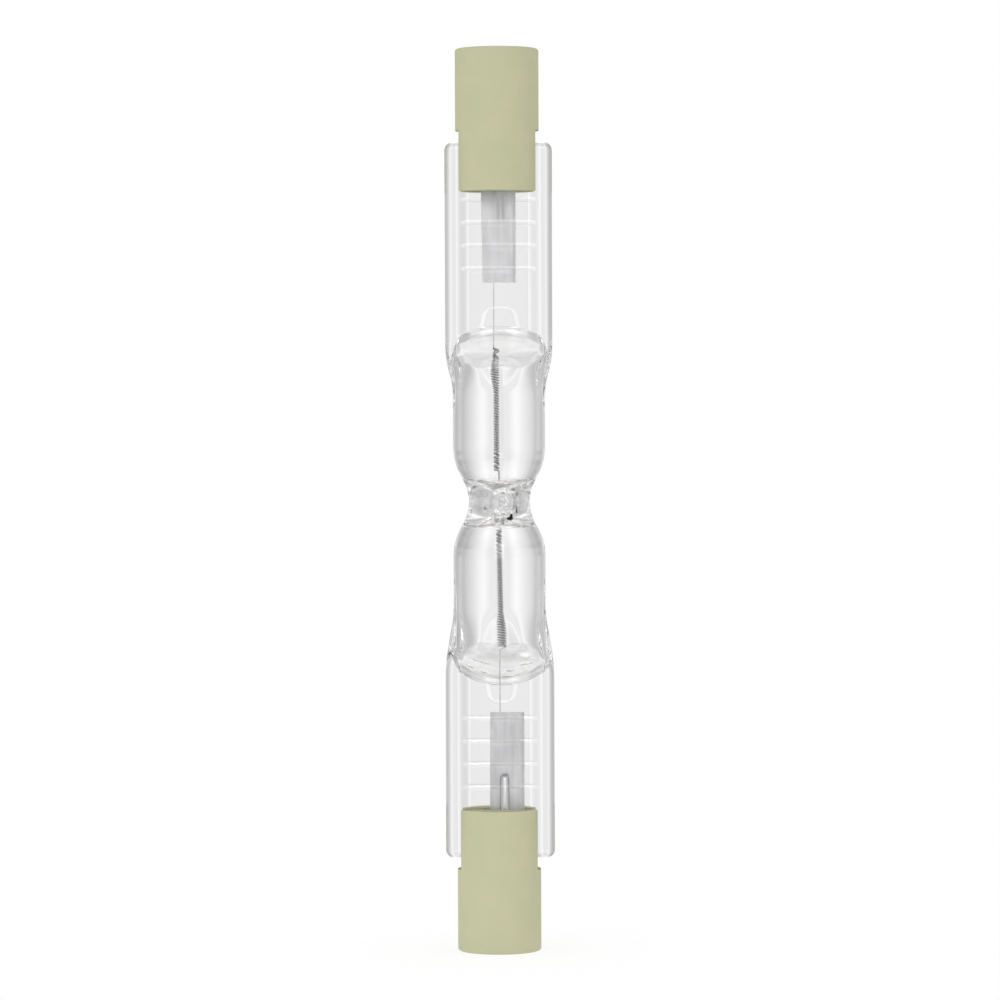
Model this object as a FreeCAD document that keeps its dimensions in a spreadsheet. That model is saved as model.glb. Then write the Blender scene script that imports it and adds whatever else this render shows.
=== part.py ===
import FreeCAD, Part
import math
import os
import Sketcher

# A double-ended linear halogen lamp, 78 mm long, standing on one of its end caps.
# Each body is drawn about the middle of the lamp, with Z along the lamp and the
# exhaust tip to the front (-Y), and is then lifted by half the overall length.
# A depth is measured along the lamp from its nearer end.

doc = FreeCAD.newDocument("linear_halogen_lamp")
dim = doc.addObject("Spreadsheet::Sheet", "dim")

sizes = {
    "overall_length": 78.3,
    # ceramic end caps
    "cap_diameter": 7.25,
    "cap_length": 12.35,
    "cap_rim_round": 0.25,
    "barrel_length": 7.1,
    "slot_clearance": 0.1,
    "recess_diameter": 4.2,
    "recess_chamfer": 0.25,
    # contacts
    "contact_diameter": 3.7,
    "contact_depth": 1.7,
    "contact_thickness": 0.5,
    "contact_clearance": 0.05,
    "contact_edge": 0.15,
    "shank_diameter": 1.9,
    "shank_gap": 0.9,
    # fused quartz tube
    "chamber_diameter": 8.0,
    "chamber_wall": 0.6,
    "waist_diameter": 5.2,
    "waist_reach": 4.6,
    "neck_bore": 1.0,
    "dome_flat": 0.6,
    "dome_wall": 0.9,
    "upper_dome_depth": 24.65,
    "lower_dome_depth": 23.55,
    # flat pinch seals
    "upper_pinch_width": 9.3,
    "lower_pinch_width": 9.65,
    "pinch_thickness": 2.7,
    "pinch_end_gap": 1.0,
    "pinch_corner": 0.75,
    "pinch_edge_round": 0.6,
    "shoulder_root_inset": 0.4,
    "upper_shoulder_root_depth": 31.55,
    "upper_shoulder_depth": 25.95,
    "lower_shoulder_root_depth": 32.65,
    "lower_shoulder_depth": 23.95,
    "panel_width": 6.3,
    "web_thickness": 2.3,
    "ridge_round": 0.35,
    "ridge_height": 0.12,
    "ridge_pitch": 2.0,
    "ridge_count": 4,
    "upper_ridge_depth": 19.05,
    "lower_ridge_depth": 20.25,
    "tongue_root_width": 3.0,
    "tongue_tip_width": 2.0,
    "tongue_length": 1.9,
    "tongue_height": 0.1,
    # exhaust tip
    "tip_base_diameter": 2.4,
    "tip_end_diameter": 1.3,
    "tip_reach": 3.85,
    "tip_bore": 0.6,
    "tip_wall": 0.8,
    "tip_shift": 0.58,
    # molybdenum foils
    "foil_width": 3.0,
    "foil_length": 9.5,
    "foil_thickness": 0.03,
    "upper_foil_depth": 20.25,
    "lower_foil_depth": 20.75,
    "upper_foil_shift": 0.1,
    "lower_foil_shift": 0.7,
    # outer leads
    "lead_diameter": 0.7,
    "lead_weld": 4.0,
    "lead_grip": 2.0,
    "lead_bend": 1.6,
    "upper_lead_shift": 0.3,
    "lower_lead_shift": 0.48,
    # filament
    "wire_diameter": 0.15,
    "coil_diameter": 0.48,
    "coil_start": 2.7,
    "coil_gap": 1.6,
    "leg_weld": 1.2,
    "leg_hook": 0.7,
    "upper_leg_shift": -0.33,
    "lower_leg_shift": 0.3,
    # cement
    "cement_width": 5.6,
    "cement_setback": 0.4,
}
for row, (alias, size) in enumerate(sizes.items(), start=1):
    dim.set(f"A{row}", alias)
    dim.set(f"B{row}", str(size))
    dim.setAlias(f"B{row}", alias)
doc.recompute()

ends = {"upper": 1, "lower": -1}

# Places that several pieces share, measured along Z from the middle of the lamp.
half = "dim.overall_length / 2"
cap_inner_end = f"({half} - dim.cap_length)"
slot_floor = f"({half} - dim.barrel_length)"
pinch_end = f"({slot_floor} - dim.pinch_end_gap)"
contact_face = f"({half} - dim.contact_depth)"
contact_seat = f"({contact_face} - dim.contact_thickness)"
shank_end = f"({slot_floor} + dim.shank_gap)"
lead_end = f"({shank_end} + dim.lead_grip)"
dome_end = {end: f"({half} - dim.{end}_dome_depth)" for end in ends}
coil_end = f"({dome_end['upper']} - dim.coil_gap)"
foil_start = {end: f"({half} - dim.{end}_foil_depth)" for end in ends}
foil_end = {end: f"({foil_start[end]} + dim.foil_length)" for end in ends}
leg_end = {end: f"({foil_start[end]} + dim.leg_weld)" for end in ends}

# Sizes across the lamp that follow from the driving ones.
slot_half = "(dim.pinch_thickness / 2 + dim.slot_clearance)"
dome_round = "(dim.chamber_diameter / 2 - dim.dome_flat)"
web_half = "(dim.web_thickness / 2)"
shank_radius = "(dim.shank_diameter / 2)"
lead_radius = "(dim.lead_diameter / 2)"
lead_side = {"upper": f"(dim.foil_thickness + {lead_radius})", "lower": f"(-{lead_radius})"}
wire_radius = "(dim.wire_diameter / 2)"
margin = "1"


def value(expression):
    """The number that an expression of the sheet's cells stands for."""
    return float(dim.evalExpression(expression))


def origin_part(body, role):
    return next(part for part in body.Origin.OriginFeatures if part.Role == role)


def new_body(label, lower=False):
    """A body about the lamp's middle; a lower one is turned end for end about Y."""
    body = doc.addObject("PartDesign::Body", label)
    body.Label = label
    if lower:
        turn = FreeCAD.Rotation(FreeCAD.Vector(0, 1, 0), 180)
        body.Placement = FreeCAD.Placement(FreeCAD.Vector(), turn)
    body.setExpression("Placement.Base.z", half)
    return body


def new_sketch(body, name, role, offset=None):
    sketch = body.newObject("Sketcher::SketchObject", name)
    sketch.AttachmentSupport = [(origin_part(body, role), "")]
    sketch.MapMode = "FlatFace"
    if offset:
        sketch.setExpression("AttachmentOffset.Base.z", offset)
    return sketch


def fix_point(sketch, edge, end, across, along):
    """Hold one end of an edge at two expressions, or on the axis where one is 0."""
    for kind, axis, expression in (("DistanceX", -2, across), ("DistanceY", -1, along)):
        if expression == "0":
            sketch.addConstraint(Sketcher.Constraint("PointOnObject", edge, end, axis))
        else:
            rule = Sketcher.Constraint(kind, -1, 1, edge, end, value(expression))
            index = sketch.addConstraint(rule)
            sketch.setExpression(f"Constraints[{index}]", expression)


def arc_between(first, last, radius, turn):
    """An arc from first to last that bends left (turn 1) or right (turn -1)."""
    middle = (first + last) / 2
    chord = last - first
    rise = math.sqrt(max(radius**2 - (chord.Length / 2) ** 2, 0))
    left = FreeCAD.Vector(-chord.y, chord.x, 0).normalize()
    centre = middle + left * rise * turn
    start, stop = (first, last) if turn > 0 else (last, first)
    circle = Part.Circle(centre, FreeCAD.Vector(0, 0, 1), radius)
    angles = [math.atan2(point.y - centre.y, point.x - centre.x) for point in (start, stop)]
    return Part.ArcOfCircle(circle, *angles)


def draw(sketch, points, arcs, closed=True):
    """Lines through the points, with an arc (radius, turn) after each point in arcs."""
    places = [FreeCAD.Vector(value(across), value(along), 0) for across, along in points]
    spans = len(points) if closed else len(points) - 1
    tails = []
    for index in range(spans):
        first, last = places[index], places[(index + 1) % len(points)]
        head, tail = 1, 2
        if index in arcs:
            radius, turn = arcs[index]
            edge = sketch.addGeometry(arc_between(first, last, value(radius), turn))
            rule = sketch.addConstraint(Sketcher.Constraint("Radius", edge, value(radius)))
            sketch.setExpression(f"Constraints[{rule}]", radius)
            if turn < 0:
                head, tail = 2, 1
        else:
            edge = sketch.addGeometry(Part.LineSegment(first, last))
        fix_point(sketch, edge, head, *points[index])
        if tails:
            sketch.addConstraint(Sketcher.Constraint("Coincident", *tails[-1], edge, head))
        else:
            opening = (edge, head)
        tails.append((edge, tail))
    if closed:
        sketch.addConstraint(Sketcher.Constraint("Coincident", *tails[-1], *opening))
    else:
        fix_point(sketch, *tails[-1], *points[-1])


def draw_circle(sketch, across, along, radius):
    centre = FreeCAD.Vector(value(across), value(along), 0)
    circle = Part.Circle(centre, FreeCAD.Vector(0, 0, 1), value(radius))
    edge = sketch.addGeometry(circle)
    fix_point(sketch, edge, 3, across, along)
    rule = sketch.addConstraint(Sketcher.Constraint("Radius", edge, value(radius)))
    sketch.setExpression(f"Constraints[{rule}]", radius)


def box_points(left, right, low, high):
    return [(left, low), (right, low), (right, high), (left, high)]


def bend_radius(length, shift):
    """Radius of the two equal arcs that carry a line sideways by shift over length."""
    return f"((pow({length}; 2) + pow({shift}; 2)) / (4 * ({shift})))"


def extrude(body, kind, sketch, length, both_ways=False, flip=False):
    feature = body.newObject(f"PartDesign::{kind}", f"{sketch.Name}_{kind.lower()}")
    feature.Profile = sketch
    feature.SideType = "Symmetric" if both_ways else "One side"
    feature.Reversed = flip
    feature.setExpression("Length", length)
    return feature


def turn_about(body, kind, sketch, axis):
    feature = body.newObject(f"PartDesign::{kind}", f"{sketch.Name}_{kind.lower()}")
    feature.Profile = sketch
    feature.ReferenceAxis = (sketch, [axis])
    feature.Angle = 360
    return feature


def sweep(body, kind, path, section):
    feature = body.newObject(f"PartDesign::{kind}", f"{path.Name}_sweep")
    feature.Profile = section
    feature.Spine = (path, [f"Edge{number + 1}" for number in range(path.GeometryCount)])
    return feature


def bent_wire(body, kind, name, across, depth, radius, stretch, bend, rest):
    """A wire that runs along Z beside the axis, then steps sideways to rest.

    stretch and bend are the Z of each end of the whole wire and of its step.
    """
    beside = f"hypot({across}; {depth})"
    path = new_sketch(body, f"{name}_path", "XZ_Plane")
    angle = math.degrees(math.atan2(value(depth), value(across)))
    turn = FreeCAD.Rotation(FreeCAD.Vector(0, 1, 0), angle)
    path.AttachmentOffset = FreeCAD.Placement(FreeCAD.Vector(), turn)
    path.setExpression("AttachmentOffset.Rotation.Angle", f"atan2({depth}; {across})")
    points = [
        (beside, stretch[0]),
        (beside, bend[0]),
        (f"({beside} + {rest}) / 2", f"({bend[0]} + {bend[1]}) / 2"),
        (rest, bend[1]),
        (rest, stretch[1]),
    ]
    radius_of_step = bend_radius(f"({bend[1]} - {bend[0]})", f"({beside} - {rest})")
    rising = 1 if value(bend[1]) > value(bend[0]) else -1
    draw(path, points, {1: (radius_of_step, rising), 2: (radius_of_step, -rising)}, closed=False)
    section = new_sketch(body, f"{name}_section", "XY_Plane", stretch[0])
    draw_circle(section, across, depth, radius)
    doc.recompute()
    return sweep(body, kind, path, section)


def outer_edges(feature, half_thickness, root):
    """Edges on the two flat faces of the slab beyond root, apart from those at root."""
    chosen = []
    direction = math.copysign(1, root)
    for number, edge in enumerate(feature.Shape.Edges, start=1):
        middle = edge.valueAt((edge.FirstParameter + edge.LastParameter) / 2)
        on_face = all(abs(abs(v.Y) - half_thickness) < 1e-6 for v in edge.Vertexes)
        on_face = on_face and abs(abs(middle.y) - half_thickness) < 1e-6
        if on_face and (middle.z - root) * direction > 1e-6:
            chosen.append(f"Edge{number}")
    return chosen


def pinch_slab(body, end, sign):
    """A flat seal: its outline, rounded edges and a sunk panel on both faces."""
    edge = f"(dim.{end}_pinch_width / 2)"
    root = "(dim.chamber_diameter / 2 - dim.shoulder_root_inset)"
    start = f"(({half} - dim.{end}_shoulder_root_depth) * {sign})"
    stop = f"(({half} - dim.{end}_shoulder_depth) * {sign})"
    top = f"({pinch_end} * {sign})"
    below_top = f"(({pinch_end} - dim.pinch_corner) * {sign})"
    corner = "dim.pinch_corner"
    inflection = f"(({edge} + {root}) / 2)"
    halfway = f"(({start} + {stop}) / 2)"
    shoulder = bend_radius(f"({stop} - {start})", f"({edge} - {root})")
    outline = new_sketch(body, f"{end}_pinch_outline", "XZ_Plane")
    points = [
        (root, start),
        (inflection, halfway),
        (edge, stop),
        (edge, below_top),
        (f"({edge} - {corner})", top),
        (f"(-({edge} - {corner}))", top),
        (f"(-{edge})", below_top),
        (f"(-{edge})", stop),
        (f"(-{inflection})", halfway),
        (f"(-{root})", start),
    ]
    arcs = {
        0: (shoulder, -sign),
        1: (shoulder, sign),
        3: (corner, sign),
        5: (corner, sign),
        7: (shoulder, sign),
        8: (shoulder, -sign),
    }
    draw(outline, points, arcs)
    slab = extrude(body, "Pad", outline, "dim.pinch_thickness", both_ways=True)
    doc.recompute()
    rounding = body.newObject("PartDesign::Fillet", f"{end}_pinch_rounding")
    rounding.Base = (slab, outer_edges(slab, value("dim.pinch_thickness / 2"), value(start)))
    rounding.setExpression("Radius", "dim.pinch_edge_round")
    doc.recompute()

    panel_start = f"(({dome_end[end]} - {dome_round}) * {sign})"
    panel_stop = f"(({pinch_end} + {margin}) * {sign})"
    panel = new_sketch(body, f"{end}_panel", "XZ_Plane", "dim.pinch_thickness / 2")
    sides = box_points("(-dim.panel_width / 2)", "(dim.panel_width / 2)", panel_start, panel_stop)
    draw(panel, sides, {})
    sunk = extrude(body, "Pocket", panel, f"dim.pinch_thickness / 2 - {web_half}")
    doc.recompute()
    mirror = body.newObject("PartDesign::Mirrored", f"{end}_back_panel")
    mirror.Originals = [sunk]
    mirror.MirrorPlane = (origin_part(body, "XZ_Plane"), [""])
    body.Tip = mirror
    doc.recompute()


def chamber_profile(sketch, radius, neck, round_radius, upper_end, lower_end):
    """Half section of two domed chambers that meet in a necked waist."""
    waist = bend_radius("dim.waist_reach", f"({radius} - {neck})")
    inflection = f"(({radius} + {neck}) / 2)"
    shoulder = f"({radius} - {round_radius})"
    points = [
        ("0", f"(-{lower_end})"),
        (shoulder, f"(-{lower_end})"),
        (radius, f"({round_radius} - {lower_end})"),
        (radius, "(-dim.waist_reach)"),
        (inflection, "(-dim.waist_reach / 2)"),
        (inflection, "(dim.waist_reach / 2)"),
        (radius, "dim.waist_reach"),
        (radius, f"({upper_end} - {round_radius})"),
        (shoulder, upper_end),
        ("0", upper_end),
    ]
    arcs = {
        1: (round_radius, 1),
        3: (waist, 1),
        4: (waist, -1),
        5: (waist, 1),
        7: (round_radius, 1),
    }
    draw(sketch, points, arcs)


def add_chambers(body):
    tube = new_sketch(body, "tube", "XZ_Plane")
    chamber_profile(
        tube,
        "(dim.chamber_diameter / 2)",
        "(dim.waist_diameter / 2)",
        dome_round,
        dome_end["upper"],
        dome_end["lower"],
    )
    turn_about(body, "Revolution", tube, "V_Axis")
    doc.recompute()


def add_ridges(body, end, sign):
    """Half-round ridges pressed across both faces of the seal, in a row."""
    sunk = f"({web_half} + dim.ridge_height - dim.ridge_round)"
    height = f"(({half} - dim.{end}_ridge_depth) * {sign})"
    bar = new_sketch(body, f"{end}_ridge", "YZ_Plane")
    draw_circle(bar, f"(-{sunk})", height, "dim.ridge_round")
    draw_circle(bar, sunk, height, "dim.ridge_round")
    ridge = extrude(body, "Pad", bar, "dim.panel_width", both_ways=True)
    doc.recompute()
    row = body.newObject("PartDesign::LinearPattern", f"{end}_ridge_row")
    row.Originals = [ridge]
    row.Direction = (bar, ["V_Axis"])
    row.Reversed = sign < 0
    row.setExpression("Length", "dim.ridge_pitch * (dim.ridge_count - 1)")
    row.setExpression("Occurrences", "dim.ridge_count")
    body.Tip = row
    doc.recompute()


def add_tongue(body, end, sign):
    """The low raised flap that runs from the dome on to the seal round the leg."""
    low = f"(({dome_end[end]} - dim.dome_wall) * {sign})"
    high = f"(({dome_end[end]} + dim.tongue_length) * {sign})"
    wide = "(dim.tongue_root_width / 2)"
    narrow = "(dim.tongue_tip_width / 2)"
    flap = new_sketch(body, f"{end}_tongue", "XZ_Plane")
    points = [(f"(-{wide})", low), (wide, low), (narrow, high), (f"(-{narrow})", high)]
    draw(flap, points, {})
    extrude(body, "Pad", flap, "dim.web_thickness + 2 * dim.tongue_height", both_ways=True)
    doc.recompute()


def add_exhaust_tip(body):
    """The sealed stub of the exhaust tube, on the front of the waist."""
    root = "(-dim.waist_diameter / 4)"
    base = "(dim.tip_base_diameter / 2)"
    end = "(dim.tip_end_diameter / 2)"
    stub = new_sketch(body, "exhaust_tip", "YZ_Plane", "dim.tip_shift")
    points = [(root, "0"), (root, base), (f"({end} - dim.tip_reach)", end), ("(-dim.tip_reach)", "0")]
    draw(stub, points, {2: (end, 1)})
    turn_about(body, "Revolution", stub, "H_Axis")
    doc.recompute()


def cut_cavity(body):
    cavity = new_sketch(body, "cavity", "XZ_Plane")
    chamber_profile(
        cavity,
        "(dim.chamber_diameter / 2 - dim.chamber_wall)",
        "(dim.neck_bore / 2)",
        f"({dome_round} - dim.chamber_wall)",
        f"({dome_end['upper']} - dim.dome_wall)",
        f"({dome_end['lower']} - dim.dome_wall)",
    )
    turn_about(body, "Groove", cavity, "V_Axis")
    doc.recompute()
    bore = new_sketch(body, "tip_bore", "YZ_Plane", "dim.tip_shift")
    points = [("0", "0"), ("0", "(dim.tip_bore / 2)"), ("(dim.tip_wall - dim.tip_reach)", "0")]
    draw(bore, points, {})
    turn_about(body, "Groove", bore, "H_Axis")
    doc.recompute()


def foil_outline(body, end, sign):
    """A foil's rectangle on the seal's middle plane, which is the foil's front face."""
    shift = f"dim.{end}_foil_shift"
    low = f"({foil_start[end]} * {sign})"
    high = f"({foil_end[end]} * {sign})"
    left = f"({shift} - dim.foil_width / 2)"
    right = f"({shift} + dim.foil_width / 2)"
    sketch = new_sketch(body, f"{end}_foil_outline", "XZ_Plane")
    draw(sketch, box_points(left, right, low, high), {})
    return sketch


def lead_wire(body, kind, end, sign):
    """An outer lead, from its weld on the foil to the grip of the contact.

    The upper one lies behind its foil, the lower one in front.
    """
    stretch = (f"(({foil_end[end]} - dim.lead_weld) * {sign})", f"({lead_end} * {sign})")
    bend = (f"({foil_end[end]} * {sign})", f"(({foil_end[end]} + dim.lead_bend) * {sign})")
    shift = f"dim.{end}_lead_shift"
    return bent_wire(
        body, kind, f"{end}_lead", shift, lead_side[end], lead_radius, stretch, bend, "0"
    )


def cut_seal(body, end, sign):
    """The glass closes on the foil, the outer lead and the filament's leg."""
    outline = foil_outline(body, end, sign)
    extrude(body, "Pocket", outline, "dim.foil_thickness")
    doc.recompute()
    lead_wire(body, "SubtractivePipe", end, sign)
    doc.recompute()
    weld = f"({leg_end[end]} * {sign})"
    reach = f"({leg_end[end]} - {dome_end[end]} + {dome_round})"
    leg = new_sketch(body, f"{end}_leg_hole", "XY_Plane", weld)
    draw_circle(leg, f"dim.{end}_leg_shift", f"(-{wire_radius})", wire_radius)
    extrude(body, "Pocket", leg, reach, flip=sign < 0)
    doc.recompute()


def quartz_envelope():
    body = new_body("quartz_envelope")
    body.AllowCompound = True
    for end, sign in ends.items():
        pinch_slab(body, end, sign)
    add_chambers(body)
    for end, sign in ends.items():
        add_ridges(body, end, sign)
        add_tongue(body, end, sign)
    add_exhaust_tip(body)
    cut_cavity(body)
    for end, sign in ends.items():
        cut_seal(body, end, sign)
    return body


def filament():
    """Two close-wound coils, the straight wire between them and a leg at each end."""
    body = new_body("filament")
    wound = new_sketch(body, "coils", "XZ_Plane")
    coil = "(dim.coil_diameter / 2)"
    points = [("0", f"(-{coil_end})"), (coil, f"(-{coil_end})"), (coil, "(-dim.coil_start)")]
    points += [(wire_radius, "(-dim.coil_start)"), (wire_radius, "dim.coil_start")]
    points += [(coil, "dim.coil_start"), (coil, coil_end), ("0", coil_end)]
    draw(wound, points, {})
    turn_about(body, "Revolution", wound, "V_Axis")
    doc.recompute()
    rim = f"({coil} / 2)"
    for end, sign in ends.items():
        stretch = (f"({leg_end[end]} * {sign})", f"(({coil_end} - {rim}) * {sign})")
        bend = (f"(({coil_end} + dim.leg_hook) * {sign})", f"({coil_end} * {sign})")
        shift = f"dim.{end}_leg_shift"
        bent_wire(
            body, "AdditivePipe", f"{end}_leg", shift, f"(-{wire_radius})", wire_radius,
            stretch, bend, rim,
        )
        doc.recompute()
    return body


def seal_foil(end, sign):
    body = new_body(f"{end}_foil")
    outline = foil_outline(body, end, sign)
    extrude(body, "Pad", outline, "dim.foil_thickness", flip=True)
    return body


def outer_lead(end, sign):
    body = new_body(f"{end}_lead")
    lead_wire(body, "AdditivePipe", end, sign)
    return body


def end_cap(end, sign):
    """A turned ceramic cap: contact recess, stepped bore and the slot for the seal."""
    body = new_body(f"{end}_cap", sign < 0)
    outside = "(dim.cap_diameter / 2)"
    bore = f"({shank_radius} + dim.contact_clearance)"
    seat = "(dim.contact_diameter / 2 + dim.contact_clearance)"
    recess = "(dim.recess_diameter / 2)"
    rim = "dim.cap_rim_round"
    chamfer = "dim.recess_chamfer"
    section = new_sketch(body, f"{end}_cap_section", "XZ_Plane")
    points = [
        (bore, cap_inner_end),
        (outside, cap_inner_end),
        (outside, f"({half} - {rim})"),
        (f"({outside} - {rim})", f"({half})"),
        (f"({recess} + {chamfer})", f"({half})"),
        (recess, f"({half} - {chamfer})"),
        (recess, contact_face),
        (seat, contact_face),
        (seat, contact_seat),
        (bore, contact_seat),
    ]
    draw(section, points, {2: (rim, 1)})
    turn_about(body, "Revolution", section, "V_Axis")
    slot = new_sketch(body, f"{end}_slot", "YZ_Plane")
    below = f"({cap_inner_end} - {margin})"
    draw(slot, box_points(f"(-{slot_half})", slot_half, below, slot_floor), {})
    extrude(body, "Pocket", slot, f"dim.cap_diameter + {margin}", both_ways=True)
    return body


def end_contact(end, sign):
    """A contact button, flush with the recess floor, with a tubular shank for the lead."""
    body = new_body(f"{end}_contact", sign < 0)
    button = "(dim.contact_diameter / 2)"
    bevel = "dim.contact_edge"
    section = new_sketch(body, f"{end}_contact_section", "XZ_Plane")
    points = [
        (lead_radius, shank_end),
        (shank_radius, shank_end),
        (shank_radius, contact_seat),
        (button, contact_seat),
        (button, f"({contact_face} - {bevel})"),
        (f"({button} - {bevel})", contact_face),
        ("0", contact_face),
        ("0", lead_end),
        (lead_radius, lead_end),
    ]
    draw(section, points, {})
    turn_about(body, "Revolution", section, "V_Axis")
    return body


def cement_saddle(end, sign):
    """The cement between seal and slot, open at both sides of the cap."""
    body = new_body(f"{end}_cement", sign < 0)
    mouth = f"({cap_inner_end} + dim.cement_setback)"
    section = new_sketch(body, f"{end}_cement_section", "YZ_Plane")
    points = [
        (web_half, mouth),
        (slot_half, mouth),
        (slot_half, slot_floor),
        (f"(-{slot_half})", slot_floor),
        (f"(-{slot_half})", mouth),
        (f"(-{web_half})", mouth),
        (f"(-{web_half})", pinch_end),
        (web_half, pinch_end),
    ]
    draw(section, points, {})
    extrude(body, "Pad", section, "dim.cement_width", both_ways=True)
    doc.recompute()
    passage = new_sketch(body, f"{end}_lead_passage", "XY_Plane", slot_floor)
    draw_circle(passage, "0", "0", lead_radius)
    extrude(body, "Pocket", passage, "dim.pinch_end_gap")
    return body


pieces = [quartz_envelope(), filament()]
for end, sign in ends.items():
    pieces += [make(end, sign) for make in (seal_foil, outer_lead, end_cap, end_contact, cement_saddle)]
doc.recompute()

for item in doc.Objects:
    if {"Invalid", "Error"} & set(item.State):
        raise RuntimeError(f"{item.Label} failed: {item.State}")
os.makedirs("parts", exist_ok=True)
for piece in pieces:
    shape = piece.Shape
    if shape.isNull() or not shape.isValid() or len(shape.Solids) != 1:
        raise RuntimeError(f"{piece.Label} is not one valid solid")
    print(f"{piece.Label}: {shape.Volume:.3f} mm3")
for piece in pieces:
    piece.Shape.exportStep(f"parts/{piece.Label}.step")
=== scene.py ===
import bpy
import math
import numpy as np
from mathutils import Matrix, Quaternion, Vector


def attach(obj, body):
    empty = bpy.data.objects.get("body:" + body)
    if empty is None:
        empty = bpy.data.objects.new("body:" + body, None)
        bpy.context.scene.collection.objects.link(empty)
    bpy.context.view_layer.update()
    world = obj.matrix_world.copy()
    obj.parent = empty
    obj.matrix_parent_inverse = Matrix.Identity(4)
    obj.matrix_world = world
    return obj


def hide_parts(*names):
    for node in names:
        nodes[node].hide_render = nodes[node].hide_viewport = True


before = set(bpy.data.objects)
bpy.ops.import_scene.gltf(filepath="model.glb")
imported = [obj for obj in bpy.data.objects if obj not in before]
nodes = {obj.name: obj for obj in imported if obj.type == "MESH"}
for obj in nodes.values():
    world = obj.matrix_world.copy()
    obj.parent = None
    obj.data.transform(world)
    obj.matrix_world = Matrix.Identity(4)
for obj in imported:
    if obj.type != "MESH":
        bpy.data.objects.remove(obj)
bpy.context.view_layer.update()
mm = 0.001
middle = 39.15  # height of the lamp's middle, in mm
print("frame loaded:", len(nodes), "nodes")


def clearSelection():
    if bpy.context.object and bpy.context.object.mode != "OBJECT":
        bpy.ops.object.mode_set(mode="OBJECT")
    bpy.ops.object.select_all(action="DESELECT")


def pick(piece):
    clearSelection()
    piece.select_set(True)
    bpy.context.view_layer.objects.active = piece


def settle(piece):
    # the piece's place goes into its mesh
    pick(piece)
    bpy.ops.object.transform_apply(location=True, rotation=True, scale=True)


def joinPieces(name, parts):
    pick(parts[0])
    for part in parts:
        part.select_set(True)
    bpy.ops.object.join()
    joined = bpy.context.object
    joined.name = name
    joined.data.name = name
    return joined


def smoothStep(low, high, value):
    share = np.clip((value - low) / (high - low), 0, 1)
    return share * share * (3 - 2 * share)


def softLine(points, blur):
    # a line through the points with its corners eased over about twice the blur
    places = np.linspace(points[0][0], points[-1][0], 4001)
    heights = np.interp(places, *zip(*points))
    step = places[1] - places[0]
    reach = int(3 * blur / step) + 1
    kernel = np.exp(-0.5 * (np.arange(-reach, reach + 1) * step / blur) ** 2)
    padded = np.pad(heights, reach, mode="reflect", reflect_type="odd")
    eased = np.convolve(padded, kernel / kernel.sum(), mode="valid")
    return lambda value: np.interp(value, places, eased)


# quartz tube

quartz = {
    "radius": 4.0,
    "across": 0.1,  # the glass sits a little to the right in its caps
    "waistRadius": 2.62,
    "waistReach": 4.4,
    "shoulderRoot": 3.6,
    "sideBlur": 0.55,
    "edgeRound": 0.62,
    "edgeThin": 0.45,  # share of the rounding where the wings begin
    "edgeGrow": (11.5, 14.5),
    "edgeFlat": 0.72,
    "wingRise": (8.8, 12.8),
    "cornerRound": 0.75,
    "pinchEnd": 31.05,
    "halfWeb": 1.17,
    "domeEase": 2.0,
    "archEase": 1.0,
    "archBead": (0.035, 0.2, 0.15),  # rise, distance beyond the arch and width
    "beadRise": 0.13,
    "beadSpan": (2.55, 3.75),
    "ridgeRise": 0.035,
    "ridgeReach": 0.24,
    "ridgeStep": 2.0,
    "ridgeCount": 4,
    "ridgeEnds": (2.9, 3.3),
    "tongueRise": 0.03,
    "tongueRound": 0.6,
    "tongueTip": 0.35,  # share of the width that its rounded end keeps
    "tongueSoft": (0.16, 0.15),  # at its sides and its end
    "tongueFade": (-0.8, 0.5),
    "columns": 144,
    "cuts": (20, 20),
    "crowd": 3.0,  # how dense the rings are in plain stretches
    "crowds": [(0, 4.6, 10), (10.2, 17.6, 8), (12.8, 15.9, 14)],  # from, to and how dense
    "crowdRidge": (0.34, 16),  # within what distance, and how dense
    "crowdEnd": (0.9, 16),
    "upper": {
        "waistShift": 0.1,
        "halfWidth": 4.65,
        "shoulder": (7.6, 13.2),
        # apex of the press's edge, its drop at the reach, reach, lean and the steepness beyond
        "arch": (14.62, 0.68, 3.3, 0.1, 2.4),
        "slope": 1.3,
        "ridgeStart": 20.1,
        "tongue": (14.3, 16.75, 1.75, 1.2),  # from, to, half width there and there
    },
    "lower": {
        "waistShift": -0.1,
        "halfWidth": 4.72,
        "shoulder": (6.5, 15.2),
        "arch": (15.52, 1.0, 3.5, 0.16, 2.0),
        "slope": 1.3,
        "ridgeStart": 18.9,
        "tongue": (15.5, 17.45, 1.3, 0.95),
    },
}

cavity = {
    "radius": 3.4,
    "columns": 96,
    "cuts": (13, 19),
    # shares of the skin's rings, and of the way to the fused end
    "rings": ([0, 0.42, 0.52, 0.9, 1], [0, 0.25, 0.5, 0.93, 1]),
    "begin": 8.8,
    "spread": (0.1, 0.95),
    "neckBlur": 0.09,
    "tipThin": 0.04,
    "tipEase": 1.0,
    "domeEase": 2.2,
    "upper": {
        "neck": [(0, 0.48), (1.1, 0.48), (1.2, 0.6), (1.85, 2.45), (1.97, 2.6)]
        + [(2.8, 3.0), (3.6, 3.28), (4.4, 3.4)],
        "arch": (15.1, 0.68, 3.3, 0.1, 2.4),
        "halfWidth": 3.8,
        "slope": 1.5,
    },
    "lower": {
        "neck": [(0, 0.48), (1.6, 0.48), (1.7, 0.6), (2.35, 2.45), (2.47, 2.6)]
        + [(3.3, 3.0), (4.1, 3.28), (4.9, 3.4)],
        "arch": (16.0, 1.0, 3.5, 0.16, 2.0),
        "halfWidth": 3.7,
        "slope": 1.5,
    },
}

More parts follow.
